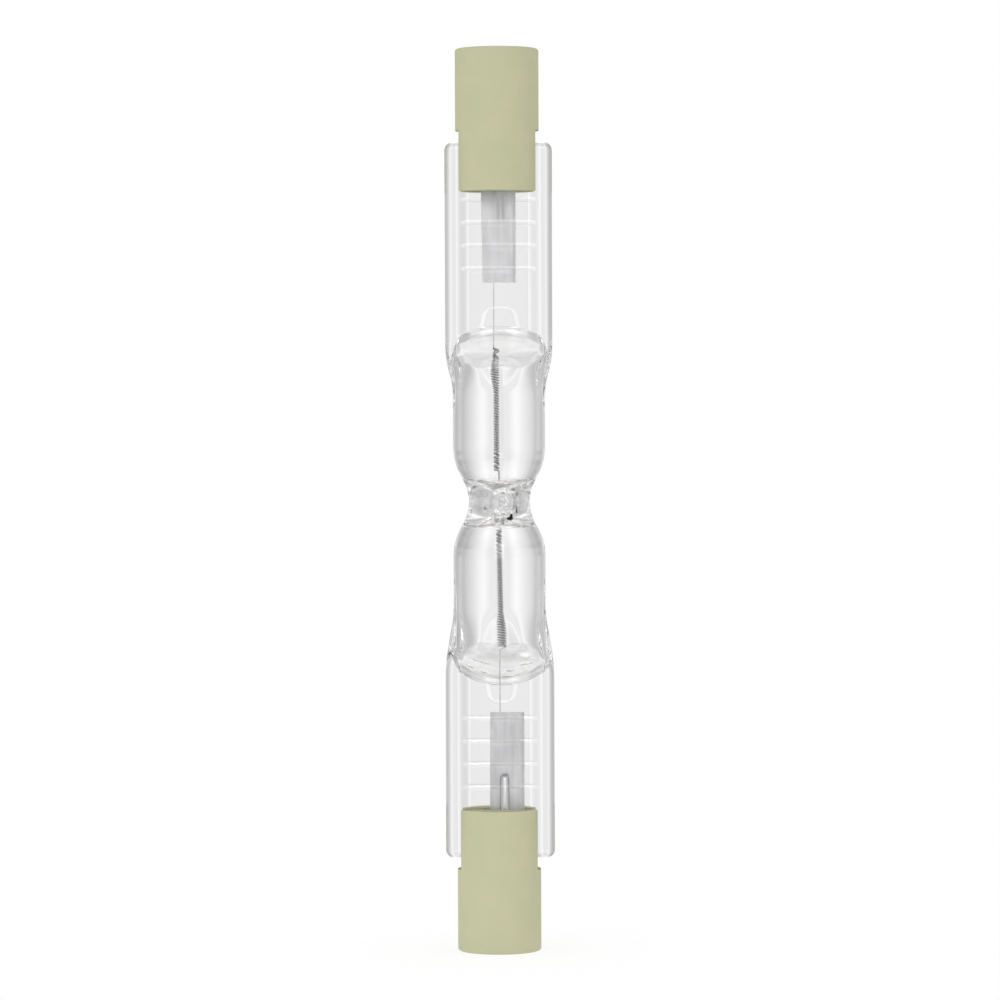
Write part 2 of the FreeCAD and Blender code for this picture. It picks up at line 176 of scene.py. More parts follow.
exhaustTip = {
    "across": 0.35,
    "height": -0.02,
    "profile": [(0, 3.84), (0.35, 3.8), (0.7, 3.62), (0.92, 3.4), (1.07, 3.1)]
    + [(1.2, 2.8), (1.32, 2.5), (1.52, 2.2), (2.1, 1.5)],
    "blur": 0.07,
    "ease": 0.16,
    "reach": (2.2, 2.6),
    "fine": 1.6,  # radius of the finer faces
    "void": (1.6, 3.0, 0.26),  # root and point of the bore's end, and its radius
}

seamBubbles = {
    "height": 0.09,
    "depth": 0.22,
    # across, in front of the middle plane, along, length and tilt of each
    "places": [(-1.6, 2.85, -13.8, 1.6, 18), (-2.55, 1.73, -14.25, 0.8, 26)]
    + [(-1.34, 1.6, -14.75, 0.6, 18), (2.3, 2.4, -14.0, 1.2, -10)]
    + [(0.9, 2.0, -14.6, 0.7, 0), (0.8, 1.3, -15.1, 1.7, -4)],
}


def waistRadius(end, along):
    along = np.abs(along + quartz[end]["waistShift"])
    reach = quartz["waistReach"]
    low = quartz["waistRadius"]
    high = quartz["radius"]
    bend = (reach**2 + (high - low) ** 2) / (4 * (high - low))
    inner = low + bend - np.sqrt(bend**2 - np.minimum(along, reach / 2) ** 2)
    outer = high - bend + np.sqrt(bend**2 - np.clip(reach - along, 0, reach / 2) ** 2)
    return np.where(along < reach / 2, inner, outer)


def sideLine(end):
    # half width of one end of the tube against the distance from the middle
    form = quartz[end]
    along = np.linspace(0, quartz["pinchEnd"], 800)
    start, stop = form["shoulder"]
    root = quartz["shoulderRoot"]
    shoulder = root + (form["halfWidth"] - root) * smoothStep(start, stop, along)
    wide = np.maximum(waistRadius(end, along), np.where(along > start, shoulder, 0))
    return softLine(list(zip(along, wide)), quartz["sideBlur"])


outlines = {end: sideLine(end) for end in ("upper", "lower")}


def archLine(arch, across):
    # a shallow arch whose ends turn down steeply
    apex, drop, reach, lean, steep = arch
    off = np.abs(across - lean)
    return apex - drop * (off / reach) ** 2 - steep * np.maximum(off - reach, 0) ** 2


def softMax(first, second, ease):
    near = np.maximum(1 - np.abs(first - second) / ease, 0)
    return np.maximum(first, second) + ease / 6 * near**3


def softMin(first, second, ease):
    # the rounding shrinks where both are small
    small = 2 * first * second / np.maximum(first + second, 1e-6)
    ease = np.maximum(ease * small / (small + ease), 1e-6)
    return -softMax(-first, -second, ease)


def endWidth(end, along):
    # half width of the outside, with the seal's rounded corners
    corner = quartz["cornerRound"]
    over = np.clip((along - (quartz["pinchEnd"] - corner)) / corner, 0, 1)
    return outlines[end](along) - corner * (1 - np.sqrt(1 - over**2))


def ringHeights(count):
    # rings crowd at the waist, the tapers, the ridges and the ends
    end = quartz["pinchEnd"]
    along = np.linspace(-end, end, 12001)
    reach = np.abs(along)
    crowd = np.full_like(along, quartz["crowd"])
    for low, high, dense in quartz["crowds"]:
        crowd[(reach >= low) & (reach < high)] = dense
    near, dense = quartz["crowdRidge"]
    for name, side in (("upper", along > 0), ("lower", along < 0)):
        for number in range(quartz["ridgeCount"]):
            ridge = quartz[name]["ridgeStart"] + quartz["ridgeStep"] * number
            crowd[side & (np.abs(reach - ridge) < near)] = dense
    near, dense = quartz["crowdEnd"]
    crowd[reach > end - near] = dense
    total = np.cumsum(crowd)
    share = (total - total[0]) / (total[-1] - total[0])
    heights = np.interp(np.linspace(0, 1, count), share, along)
    heights[0], heights[-1] = -end, end
    return heights


def sealDetail(end, offset, along):
    # beads along the edges and the arch, the pressed ridges and the flap round the leg
    form = quartz[end]
    across = np.abs(offset)
    start, full = form["shoulder"]
    rise = quartz["beadRise"] * smoothStep(*quartz["beadSpan"], across)
    rise = rise * smoothStep(start, full, along)
    inside = 1 - smoothStep(*quartz["ridgeEnds"], across)
    for number in range(quartz["ridgeCount"]):
        ridge = form["ridgeStart"] + quartz["ridgeStep"] * number
        far = np.abs(along - ridge) / quartz["ridgeReach"]
        bump = np.where(far < 1, 0.5 + 0.5 * np.cos(np.pi * np.minimum(far, 1)), 0)
        rise += quartz["ridgeRise"] * bump * inside
    low, high, wide, narrow = form["tongue"]
    share = np.clip((along - low) / (high - low), 0, 1)
    bend = np.clip(1 - (high - along) / quartz["tongueRound"], 0, 1)
    keep = quartz["tongueTip"]
    edge = (wide + (narrow - wide) * share) * (keep + (1 - keep) * np.sqrt(1 - bend**2))
    apex = form["arch"][0]
    lean = form["arch"][3]
    side, tip = quartz["tongueSoft"]
    flap = 1 - smoothStep(edge - side, edge + side, np.abs(offset - lean))
    flap = flap * (1 - smoothStep(high - tip, high + tip, along))
    first, last = quartz["tongueFade"]
    flap = flap * smoothStep(apex + first, apex + last, along)
    height, beyond, width = quartz["archBead"]
    bead = np.exp(-(((along - archLine(form["arch"], offset) - beyond) / width) ** 2))
    return rise + height * bead + quartz["tongueRise"] * flap


def tubeFace(end, across, along):
    # distance of the outside from the middle plane
    form = quartz[end]
    start = form["shoulder"][0]
    wide = endWidth(end, along)
    offset = across
    across = np.minimum(np.abs(across), wide)
    # the round tube under the sloping faces of the press
    roundDepth = waistRadius(end, along) * np.sqrt(np.maximum(1 - (across / wide) ** 2, 0))
    sloped = quartz["halfWeb"] + form["slope"] * (archLine(form["arch"], offset) - along)
    tubeDepth = softMin(roundDepth, np.maximum(sloped, 0), quartz["domeEase"])
    # the flat seal, whose edges run out along the tube
    edge = quartz["edgeRound"]
    over = np.clip((along - (quartz["pinchEnd"] - edge)) / edge, 0, 1)
    flat = quartz["halfWeb"] + sealDetail(end, offset, along) - edge * (1 - np.sqrt(1 - over**2))
    thin = quartz["edgeThin"]
    edge = edge * (thin + (1 - thin) * smoothStep(*quartz["edgeGrow"], along))
    side = quartz["edgeFlat"] * smoothStep(*quartz["wingRise"], along)
    part = np.clip((across - (wide - edge)) / edge, 0, 1)
    sealDepth = side + (flat - side) * np.sqrt(1 - part**2)
    ease = quartz["archEase"] * smoothStep(start, start + 2, along) + 0.001
    return np.where(along < start, tubeDepth, softMax(tubeDepth, sealDepth, ease))


def tipFace(across, along):
    far = np.hypot(across - exhaustTip["across"], along - exhaustTip["height"])
    return softLine(exhaustTip["profile"], exhaustTip["blur"])(far)


def outsideDepth(across, along, front):
    up = tubeFace("upper", across, np.abs(along))
    depth = np.where(along > 0, up, tubeFace("lower", across, np.abs(along)))
    aside, away = exhaustTip["reach"]
    near = front & (np.abs(along) < away) & (np.abs(across) < aside)
    return np.where(near, softMax(tipFace(across, along), depth, exhaustTip["ease"]), depth)


def tubeSkin(name, columns, cuts):
    # an open tube, divided lengthwise into rings
    clearSelection()
    bpy.ops.mesh.primitive_cylinder_add(vertices=columns, radius=1, depth=2, end_fill_type="NOTHING")
    skin = bpy.context.object
    skin.name = name
    bpy.ops.object.mode_set(mode="EDIT")
    bpy.ops.mesh.select_mode(type="EDGE")
    for number in cuts:
        bpy.ops.mesh.select_all(action="DESELECT")
        bpy.ops.object.mode_set(mode="OBJECT")
        places = skin.data.vertices
        for edge in skin.data.edges:
            first, last = (places[corner].co for corner in edge.vertices)
            edge.select = abs(first.z - last.z) > 1e-6
        bpy.ops.object.mode_set(mode="EDIT")
        bpy.ops.mesh.subdivide(number_cuts=number)
    bpy.ops.object.mode_set(mode="OBJECT")
    return skin


def readPoints(piece):
    points = np.empty(len(piece.data.vertices) * 3)
    piece.data.vertices.foreach_get("co", points)
    return points.reshape(-1, 3)


def writePoints(piece, points):
    piece.data.vertices.foreach_set("co", np.ascontiguousarray(points, dtype=np.float32).ravel())
    piece.data.update()


def makeOutside():
    cuts = quartz["cuts"]
    skin = tubeSkin("quartzOutside", quartz["columns"], cuts)
    rings = (cuts[0] + 1) * (cuts[1] + 1) + 1
    points = readPoints(skin)
    ring = np.rint((points[:, 2] + 1) / 2 * (rings - 1)).astype(int)
    along = ringHeights(rings)[ring]
    angle = np.arctan2(points[:, 1], points[:, 0])
    wide = np.where(along > 0, endWidth("upper", np.abs(along)), endWidth("lower", np.abs(along)))
    across = wide * np.cos(angle)
    side = np.where(np.abs(np.sin(angle)) < 1e-4, 0, np.sign(np.sin(angle)))
    depth = outsideDepth(across, along, side < 0) * side
    writePoints(skin, np.stack([across, depth, along], axis=1))

    # finer faces where the exhaust tip rises
    pick(skin)
    bpy.ops.object.mode_set(mode="EDIT")
    bpy.ops.mesh.select_mode(type="FACE")
    bpy.ops.mesh.select_all(action="DESELECT")
    bpy.ops.object.mode_set(mode="OBJECT")
    for face in skin.data.polygons:
        spot = face.center
        far = math.hypot(spot.x - exhaustTip["across"], spot.z - exhaustTip["height"])
        face.select = spot.y < 0 and far < exhaustTip["fine"]
    bpy.ops.object.mode_set(mode="EDIT")
    bpy.ops.mesh.subdivide(number_cuts=1)
    bpy.ops.object.mode_set(mode="OBJECT")
    points = readPoints(skin)
    far = np.hypot(points[:, 0] - exhaustTip["across"], points[:, 2] - exhaustTip["height"])
    near = (points[:, 1] < 0) & (far < exhaustTip["fine"] + 0.1)
    points[near, 1] = -outsideDepth(points[near, 0], points[near, 2], np.full(near.sum(), True))
    writePoints(skin, points)

    # flat ends
    pick(skin)
    for height in (-quartz["pinchEnd"], quartz["pinchEnd"]):
        bpy.ops.object.mode_set(mode="EDIT")
        bpy.ops.mesh.select_mode(type="EDGE")
        bpy.ops.mesh.select_all(action="DESELECT")
        bpy.ops.object.mode_set(mode="OBJECT")
        places = skin.data.vertices
        for edge in skin.data.edges:
            edge.select = all(abs(places[corner].co.z - height) < 1e-5 for corner in edge.vertices)
        bpy.ops.object.mode_set(mode="EDIT")
        bpy.ops.mesh.edge_face_add()
        bpy.ops.object.mode_set(mode="OBJECT")
    return skin


def cavityShape(end, share, angle):
    # share runs from the middle of the lamp (0) to the fused end of the chamber (1)
    form = cavity[end]
    radius = cavity["radius"]
    begin = cavity["begin"]
    beyond = np.clip((share - 0.5) / 0.5, 0, 1)
    spread = smoothStep(*cavity["spread"], beyond)
    lean = form["arch"][3]
    stop = archLine(form["arch"], lean + form["halfWidth"] * np.cos(angle))
    along = np.where(share < 0.5, share / 0.5 * begin, begin + beyond * (stop - begin))
    neck = softLine(form["neck"] + [(begin, radius)], cavity["neckBlur"])(np.minimum(along, begin))
    wide = np.where(share < 0.5, neck, radius + (form["halfWidth"] - radius) * spread)
    off = wide * np.cos(angle)
    flat = np.sqrt(np.maximum(wide**2 - np.minimum(wide, radius) ** 2, 0))
    part = np.clip((np.abs(off) - flat) / np.maximum(wide - flat, 1e-6), 0, 1)
    roundDepth = np.minimum(wide, radius) * np.sqrt(1 - part**2)
    # the pressed walls run together in a thin wedge on the arch
    across = off + lean * spread
    inside = np.maximum(archLine(form["arch"], across) - along, 0)
    pressed = form["slope"] * inside * (inside + cavity["tipThin"]) / (inside + cavity["tipEase"])
    depth = softMin(roundDepth, pressed, cavity["domeEase"])
    side = np.where(np.abs(np.sin(angle)) < 1e-4, 0, np.sign(np.sin(angle)))
    depth = np.where(share > 0.99999, 0, depth) * side
    return across, depth, along


def turnInward(skin):
    # a void's faces look into it, away from the glass
    pick(skin)
    bpy.ops.object.mode_set(mode="EDIT")
    bpy.ops.mesh.select_all(action="SELECT")
    bpy.ops.mesh.normals_make_consistent(inside=True)
    bpy.ops.object.mode_set(mode="OBJECT")


def makeCavity():
    cuts = cavity["cuts"]
    skin = tubeSkin("quartzInside", cavity["columns"], cuts)
    rings = (cuts[0] + 1) * (cuts[1] + 1) + 1
    points = readPoints(skin)
    ring = np.rint((points[:, 2] + 1) / 2 * (rings - 1)).astype(int)
    angle = np.arctan2(points[:, 1], points[:, 0])
    spread = np.linspace(-1, 1, rings)
    # rings crowd in the neck and towards the fused ends
    share = np.interp(np.abs(spread), *cavity["rings"])
    share[np.abs(spread) > 0.9999] = 1
    share = share[ring]
    up = cavityShape("upper", share, angle)
    down = cavityShape("lower", share, angle)
    top = spread[ring] >= 0
    shaped = np.stack([np.where(top, high, low) for high, low in zip(up, down)], axis=1)
    shaped[:, 2] *= np.where(top, 1, -1)
    writePoints(skin, shaped)
    pick(skin)
    bpy.ops.object.mode_set(mode="EDIT")
    bpy.ops.mesh.select_all(action="SELECT")
    bpy.ops.mesh.remove_doubles(threshold=1e-4)
    turnInward(skin)
    return skin


def makeTipVoid():
    # the closed end of the exhaust bore
    low, high, radius = exhaustTip["void"]
    clearSelection()
    bpy.ops.mesh.primitive_uv_sphere_add(segments=24, ring_count=16, radius=1)
    void = bpy.context.object
    void.name = "quartzTipVoid"
    points = readPoints(void)
    share = (points[:, 2] + 1) / 2  # 0 at the root, 1 at the point
    ring = np.hypot(points[:, 0], points[:, 1])
    ring = np.where(ring > 1e-6, ring, 1)
    size = radius * np.sqrt(np.clip(share, 0, 1)) * (1 - share) ** 0.75 * 2.1
    shaped = np.empty_like(points)
    shaped[:, 0] = points[:, 0] / ring * size + exhaustTip["across"]
    shaped[:, 2] = points[:, 1] / ring * size + exhaustTip["height"]
    shaped[:, 1] = -(low + (high - low) * share)
    writePoints(void, shaped)
    turnInward(void)
    return void


def makeBubble(across, front, along, length, tilt):
    # a flat bubble in the lower dome's front wall
    clearSelection()
    bpy.ops.mesh.primitive_uv_sphere_add(segments=24, ring_count=12, radius=1)
    bubble = bpy.context.object
    bubble.scale = (length / 2, seamBubbles["depth"], seamBubbles["height"])
    settle(bubble)
    bubble.rotation_euler = (0, math.radians(tilt), 0)
    bubble.location = (across, -front, along)
    settle(bubble)
    turnInward(bubble)
    return bubble


def placeInFrame(piece, across=0):
    # from mm about the lamp's middle to metres in the frame
    piece.location = (across * mm, 0, middle * mm)
    piece.scale = (mm, mm, mm)
    settle(piece)


skins = [makeOutside(), makeCavity(), makeTipVoid()]
skins += [makeBubble(*place) for place in seamBubbles["places"]]
tube = joinPieces("quartzTube", skins)
placeInFrame(tube, quartz["across"])
pick(tube)
bpy.ops.object.shade_smooth()
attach(tube, "root")
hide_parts("quartz_envelope")
print("quartz tube:", len(tube.data.polygons), "faces")


# filament

filament = {
    "wire": 0.13,
    "leg": 0.1,
    "coil": 0.52,
    "pitch": 0.227,
    "steps": 14,  # faces along one turn
    "neckEnd": 1.2,
    "weldDepth": 0.11,  # how far behind the middle plane a leg is welded
    "bright": (13.0, 13.4),  # dark up to here and bright from there
    "upper": {"start": 2.7, "turns": 45.5, "shift": -0.13, "lean": 0, "leg": -0.33, "weld": 20.1},
    "lower": {"start": 2.7, "turns": 45, "shift": 0.04, "lean": 0.02, "leg": 0.1, "weld": 19.6},
}


def wireRun(name, points, radius):
    clearSelection()
    bpy.ops.curve.primitive_nurbs_path_add()
    run = bpy.context.object
    run.name = name
    bpy.ops.object.mode_set(mode="OBJECT")
    run.data.splines.clear()
    spline = run.data.splines.new("NURBS")
    spline.points.add(len(points) - 1)
    for spot, place in zip(spline.points, points):
        spot.co = (*place[:3], 1)
        spot.radius = place[3] if len(place) > 3 else 1
    spline.use_endpoint_u = True
    spline.order_u = 3
    spline.resolution_u = 10
    run.data.dimensions = "3D"
    run.data.bevel_depth = radius
    run.data.bevel_resolution = 3
    run.data.use_fill_caps = True
    pick(run)
    bpy.ops.object.convert(target="MESH")
    return bpy.context.object


def towardsEnd(run, sign):
    # the third number of each point is its distance from the lamp's middle
    return [(*spot[:2], spot[2] * sign, *spot[3:]) for spot in run]


def woundCoil(name, low, turns, shift, lean):
    # one section of the wire, screwed along the lamp
    clearSelection()
    radius = (filament["coil"] - filament["wire"]) / 2
    upright = (math.pi / 2, 0, 0)
    bpy.ops.mesh.primitive_circle_add(vertices=8, radius=filament["wire"] / 2, rotation=upright)
    coil = bpy.context.object
    coil.name = name
    settle(coil)
    bpy.ops.object.mode_set(mode="EDIT")
    bpy.ops.mesh.select_all(action="SELECT")
    bpy.ops.transform.translate(value=(radius, 0, low))
    bpy.ops.object.mode_set(mode="OBJECT")
    screw = coil.modifiers.new("turns", "SCREW")
    screw.axis = "Z"
    screw.steps = round(filament["steps"] * turns)
    screw.render_steps = screw.steps
    screw.angle = 2 * math.pi * turns
    screw.screw_offset = filament["pitch"] * turns
    screw.use_merge_vertices = False
    bpy.ops.object.modifier_apply(modifier=screw.name)
    points = readPoints(coil)
    points[:, 0] += shift + lean * (np.abs(points[:, 2]) - np.abs(points[:, 2]).min())
    writePoints(coil, points)
    return coil


def makeFilament():
    radius = (filament["coil"] - filament["wire"]) / 2
    wire = filament["wire"] / 2
    parts = []
    neck = []
    for end, sign in (("upper", 1), ("lower", -1)):
        form = filament[end]
        start = form["start"]
        stop = start + filament["pitch"] * form["turns"]
        low = min(start * sign, stop * sign)
        parts.append(woundCoil(end + "Coil", low, form["turns"], form["shift"], form["lean"]))
        root = form["shift"] + radius
        swing = math.cos(2 * math.pi * form["turns"])  # half a turn more ends on the other side
        rim = form["shift"] + radius * swing + form["lean"] * (stop - start)
        leg = form["leg"]
        weld = form["weld"]
        depth = filament["weldDepth"]
        bend = rim + 0.3 * (leg - rim)
        hook = [(rim, 0, stop), (rim, 0, stop + 0.1), (bend, 0, stop + 0.22)]
        hook += [(leg, -wire, stop + 0.36), (leg, -wire, stop + 0.9)]
        hook += [(leg, 0, weld - 3.0), (leg, depth, weld - 1.6), (leg, depth, weld)]
        parts.append(wireRun(end + "Leg", towardsEnd(hook, sign), filament["leg"] / 2))
        side = [(0, 0, filament["neckEnd"]), (0.12, 0, start - 0.6)]
        side += [(root, 0, start - 0.25), (root, 0, start)]
        neck = neck[::-1] + towardsEnd(side, sign)
    parts.append(wireRun("neckWire", neck, wire))
    wound = joinPieces("filamentWire", parts)
    placeInFrame(wound)
    pick(wound)
    bpy.ops.object.shade_smooth()
    return wound


wound = makeFilament()
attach(wound, "root")
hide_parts("filament")
print("filament:", len(wound.data.polygons), "faces")


# seal foils and outer leads

foil = {
    "length": 9.5,
    "thickness": 0.02,
    "depth": 0.015,  # behind the middle plane
    "ragged": 0.012,
    "curl": 0.05,
    "bulge": 0.1,
    "bulgeWidth": 0.26,
    "upper": {"start": 18.9, "left": -1.42, "right": 1.6, "shrink": 0.12},
    "lower": {"start": 18.4, "left": -0.8, "right": 2.2, "shrink": 0.03},
}

lead = {
    "radius": 0.35,
    "weld": 4.0,
    "end": 34.9,
    "upper": (0.3, 0.38),  # across, and how far behind the middle plane
    "lower": (0.48, -0.35),
}


def makeFoil(end, sign):
    form = foil[end]
    clearSelection()
    bpy.ops.mesh.primitive_grid_add(x_subdivisions=30, y_subdivisions=90, size=2)
    sheet = bpy.context.object
    sheet.name = end + "FoilSheet"
    points = readPoints(sheet)
    share = (points[:, 1] + 1) / 2
    side = (points[:, 0] + 1) / 2
    left = form["left"] + form["shrink"] * (1 - share)
    ragged = foil["ragged"] * np.sin(share * 71 + 1.3) * np.sin(share * 23)
    rim = np.sign(side - 0.5) * (np.abs(side - 0.5) > 0.49)
    across = left + (form["right"] - left) * side + ragged * rim
    along = form["start"] + foil["length"] * share
    # two crossing ripples
    wave = 0.0024 * np.sin(along * 3.1 + across * 1.7)
    wave += 0.0016 * np.sin(across * 6.3 - along * 1.1)
    curl = foil["curl"] * smoothStep(0.9, 1.0, side)
    shift, depth = lead[end]
    tip = form["start"] + foil["length"] - lead["weld"]
    # the foil bulges round its lead
    bulge = np.exp(-(((across - shift) / foil["bulgeWidth"]) ** 2))
    bulge = foil["bulge"] * bulge * smoothStep(tip - 0.25, tip + 0.15, along)
    curl = curl - bulge * np.sign(depth)
    shaped = np.stack([across, foil["depth"] + wave + curl, along * sign], axis=1)
    writePoints(sheet, shaped)
    pick(sheet)
    solid = sheet.modifiers.new("gauge", "SOLIDIFY")
    solid.thickness = foil["thickness"]
    solid.offset = 0
    bpy.ops.object.modifier_apply(modifier=solid.name)
    placeInFrame(sheet)
    pick(sheet)
    bpy.ops.object.shade_smooth_by_angle(angle=math.radians(40))
    return sheet


def makeLead(end, sign):
    shift, depth = lead[end]
    radius = lead["radius"]
    weld = foil[end]["start"] + foil["length"]
    tip = weld - lead["weld"]
    # across, depth, along and the share of the radius at each point
    run = [(shift, depth, tip, 0.25), (shift, depth, tip + 0.02, 0.55)]
    run += [(shift, depth, tip + 0.12, 0.86), (shift, depth, tip + 0.35, 1)]
    run += [(shift, depth, weld - 0.6, 1), (shift, depth, weld + 0.3, 1)]
    run += [(0, 0, weld + 1.3, 1), (0, 0, weld + 2.2, 1), (0, 0, lead["end"], 1)]
    wire = wireRun(end + "LeadWire", towardsEnd(run, sign), radius)
    placeInFrame(wire)
    pick(wire)
    bpy.ops.object.shade_smooth_by_angle(angle=math.radians(50))
    return wire


foils = {}
leads = {}
for end, sign in (("upper", 1), ("lower", -1)):
    foils[end] = makeFoil(end, sign)
    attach(foils[end], "root")
    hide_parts(end + "_foil")
    leads[end] = makeLead(end, sign)
    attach(leads[end], "root")
    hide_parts(end + "_lead")
print("foils and leads made")


# materials


def newMaterial(name):
    material = bpy.data.materials.new(name)
    material.use_nodes = True
    tree = material.node_tree
    shader = tree.nodes["Principled BSDF"]
    return material, tree, shader


def addNode(tree, kind, **settings):
    node = tree.nodes.new(kind)
    for name, value in settings.items():
        setattr(node, name, value)
    return node


def grain(tree, scale, detail=4.0, stretch=(1, 1, 1), roughness=0.55):
    place = addNode(tree, "ShaderNodeTexCoord")
    mapping = addNode(tree, "ShaderNodeMapping")
    mapping.inputs["Scale"].default_value = stretch
    noise = addNode(tree, "ShaderNodeTexNoise")
    noise.inputs["Scale"].default_value = scale
    noise.inputs["Detail"].default_value = detail
    noise.inputs["Roughness"].default_value = roughness
    tree.links.new(place.outputs["Object"], mapping.inputs["Vector"])
    tree.links.new(mapping.outputs["Vector"], noise.inputs["Vector"])
    return noise.outputs["Fac"]


def shades(tree, value, stops):
    ramp = addNode(tree, "ShaderNodeValToRGB")
    band = ramp.color_ramp
    while len(band.elements) < len(stops):
        band.elements.new(0.5)
    for element, (place, color) in zip(band.elements, stops):
        element.position = place
        element.color = (*color, 1)
    tree.links.new(value, ramp.inputs["Fac"])
    return ramp.outputs["Color"]


def relief(tree, shader, height, strength, distance):
    bump = addNode(tree, "ShaderNodeBump")
    bump.inputs["Strength"].default_value = strength
    bump.inputs["Distance"].default_value = distance
    tree.links.new(height, bump.inputs["Height"])
    tree.links.new(bump.outputs["Normal"], shader.inputs["Normal"])


def reckon(tree, operation, *values):
    # a math node on sockets or plain numbers
    node = addNode(tree, "ShaderNodeMath", operation=operation)
    for socket, value in zip(node.inputs, values):
        if isinstance(value, (int, float)):
            socket.default_value = value
        else:
            tree.links.new(value, socket)
    return node.outputs["Value"]


def reckonVector(tree, operation, first, second=None):
    node = addNode(tree, "ShaderNodeVectorMath", operation=operation)
    tree.links.new(first, node.inputs[0])
    if isinstance(second, bpy.types.NodeSocket):
        tree.links.new(second, node.inputs[1])
    elif second is not None:
        node.inputs[1].default_value = second
    return node.outputs["Value" if operation in ("LENGTH", "DOT_PRODUCT") else "Vector"]


def fromMiddle(tree, place):
    # distance from the lamp's middle along its axis
    ports = addNode(tree, "ShaderNodeSeparateXYZ")
    tree.links.new(place, ports.inputs["Vector"])
    return reckon(tree, "ABSOLUTE", reckon(tree, "SUBTRACT", ports.outputs["Z"], middle * mm))


def dress(piece, material):
    piece.data.materials.clear()
    piece.data.materials.append(material)


def mapped(tree, value, low, high, first, last):
    node = addNode(tree, "ShaderNodeMapRange", interpolation_type="SMOOTHSTEP")
    node.inputs["From Min"].default_value = low
    node.inputs["From Max"].default_value = high
    node.inputs["To Min"].default_value = first
    node.inputs["To Max"].default_value = last
    tree.links.new(value, node.inputs["Value"])
    return node.outputs["Result"]


def mixed(tree, share, first, second):
    node = addNode(tree, "ShaderNodeMixShader")
    tree.links.new(share, node.inputs["Fac"])
    tree.links.new(first.outputs[0], node.inputs[1])
    tree.links.new(second.outputs[0], node.inputs[2])
    return node


waistMarks = {
    "haze": (1.4, 2.4),  # clouded up to here and clear from there, in mm from the middle
    "front": 2.5,
    "wander": 0.2,  # how far the painted dark reflections' edges wander, in mm
    # across, along, half width, half height and strength of each painted dark reflection at the tip
    "paintedDarkReflections": [
        (1.02, -1.5, 0.3, 0.17, 1.0),
        (1.12, -1.3, 0.12, 0.22, 1.0),
        (1.58, -0.8, 0.07, 0.36, 0.8),
        (0.45, 0.73, 0.17, 0.08, 0.75),
        (1.3, 1.0, 0.2, 0.12, 0.55),
        (1.6, 0.6, 0.12, 0.2, 0.5),
        (-1.1, -0.65, 0.09, 0.1, 0.6),
        (-2.05, 1.25, 0.14, 0.09, 0.7),
        (0.39, -1.93, 0.1, 0.13, 0.55),
    ],
}


def quartzGlass():
    material, tree, shader = newMaterial("quartzGlass")
    shader.inputs["Base Color"].default_value = (0.99, 0.988, 0.988, 1)
    shader.inputs["Roughness"].default_value = 0.0
    shader.inputs["IOR"].default_value = 1.458
    shader.inputs["Transmission Weight"].default_value = 1.0
    # faint draw lines along the tube
    lines = grain(tree, 700, 3.0, (1, 1, 0.04))
    relief(tree, shader, lines, 0.05, 0.00001)
    place = addNode(tree, "ShaderNodeTexCoord").outputs["Object"]
    # the worked waist is clouded by fine bubbles
    full, clear = waistMarks["haze"]
    band = mapped(tree, fromMiddle(tree, place), full * mm, clear * mm, 1, 0)
    cloud = mapped(tree, grain(tree, 2600, 3.0), 0.4, 0.75, 0.04, 0.36)
    haze = reckon(tree, "MULTIPLY", band, cloud)
    milky = addNode(tree, "ShaderNodeBsdfPrincipled")
    milky.inputs["Base Color"].default_value = (0.9, 0.9, 0.9, 1)
    milky.inputs["Roughness"].default_value = 0.9
    clouded = mixed(tree, haze, shader, milky)
    # painted dark reflections round the foot of the exhaust tip, where it was drawn off
    wander = addNode(tree, "ShaderNodeTexNoise")
    wander.inputs["Scale"].default_value = 5000
    tree.links.new(place, wander.inputs["Vector"])
    amount = waistMarks["wander"]
    nudge = reckonVector(tree, "MULTIPLY", wander.outputs["Color"], [amount * mm] * 3)
    moved = reckonVector(tree, "ADD", place, nudge)
    drift = amount / 2  # the noise's mean
    paintedDarkReflections = 0
    for across, along, wide, high, depth in waistMarks["paintedDarkReflections"]:
        spot = (across + drift, -waistMarks["front"], middle + along + drift)
        off = reckonVector(tree, "SUBTRACT", moved, [value * mm for value in spot])
        size = reckonVector(tree, "MULTIPLY", off, (1 / (wide * mm), 0.3 / mm, 1 / (high * mm)))
        mark = mapped(tree, reckonVector(tree, "LENGTH", size), 0.75, 1.15, depth, 0)
        paintedDarkReflections = reckon(tree, "MAXIMUM", paintedDarkReflections, mark)
    # a near-black surface for the painted dark reflections
    shadow = addNode(tree, "ShaderNodeBsdfPrincipled")
    shadow.inputs["Base Color"].default_value = (0.02, 0.02, 0.02, 1)
    shadow.inputs["Roughness"].default_value = 0.8
    shadow.inputs["Specular IOR Level"].default_value = 0.0
    paintedDarkMix = mixed(tree, paintedDarkReflections, clouded, shadow)
    tree.links.new(paintedDarkMix.outputs["Shader"], tree.nodes["Material Output"].inputs["Surface"])
    soak = addNode(tree, "ShaderNodeVolumeAbsorption")
    soak.inputs["Color"].default_value = (0.52, 0.5, 0.5, 1)
    soak.inputs["Density"].default_value = 12
    tree.links.new(soak.outputs["Volume"], tree.nodes["Material Output"].inputs["Volume"])
    return material


def steatite():
    material, tree, shader = newMaterial("steatite")
    cloud = grain(tree, 420, 3.0)
    stops = [(0.3, (0.49, 0.504, 0.326)), (0.5, (0.513, 0.512, 0.334))]
    stops += [(0.7, (0.532, 0.518, 0.343))]
    color = shades(tree, cloud, stops)
    tree.links.new(color, shader.inputs["Base Color"])
    fine = grain(tree, 5200, 5.0)
    dull = addNode(tree, "ShaderNodeMapRange")
    dull.inputs["To Min"].default_value = 0.62
    dull.inputs["To Max"].default_value = 0.85
    tree.links.new(fine, dull.inputs["Value"])
    tree.links.new(dull.outputs["Result"], shader.inputs["Roughness"])
    shader.inputs["Specular IOR Level"].default_value = 0.25
    relief(tree, shader, fine, 0.12, 0.00004)
    return material


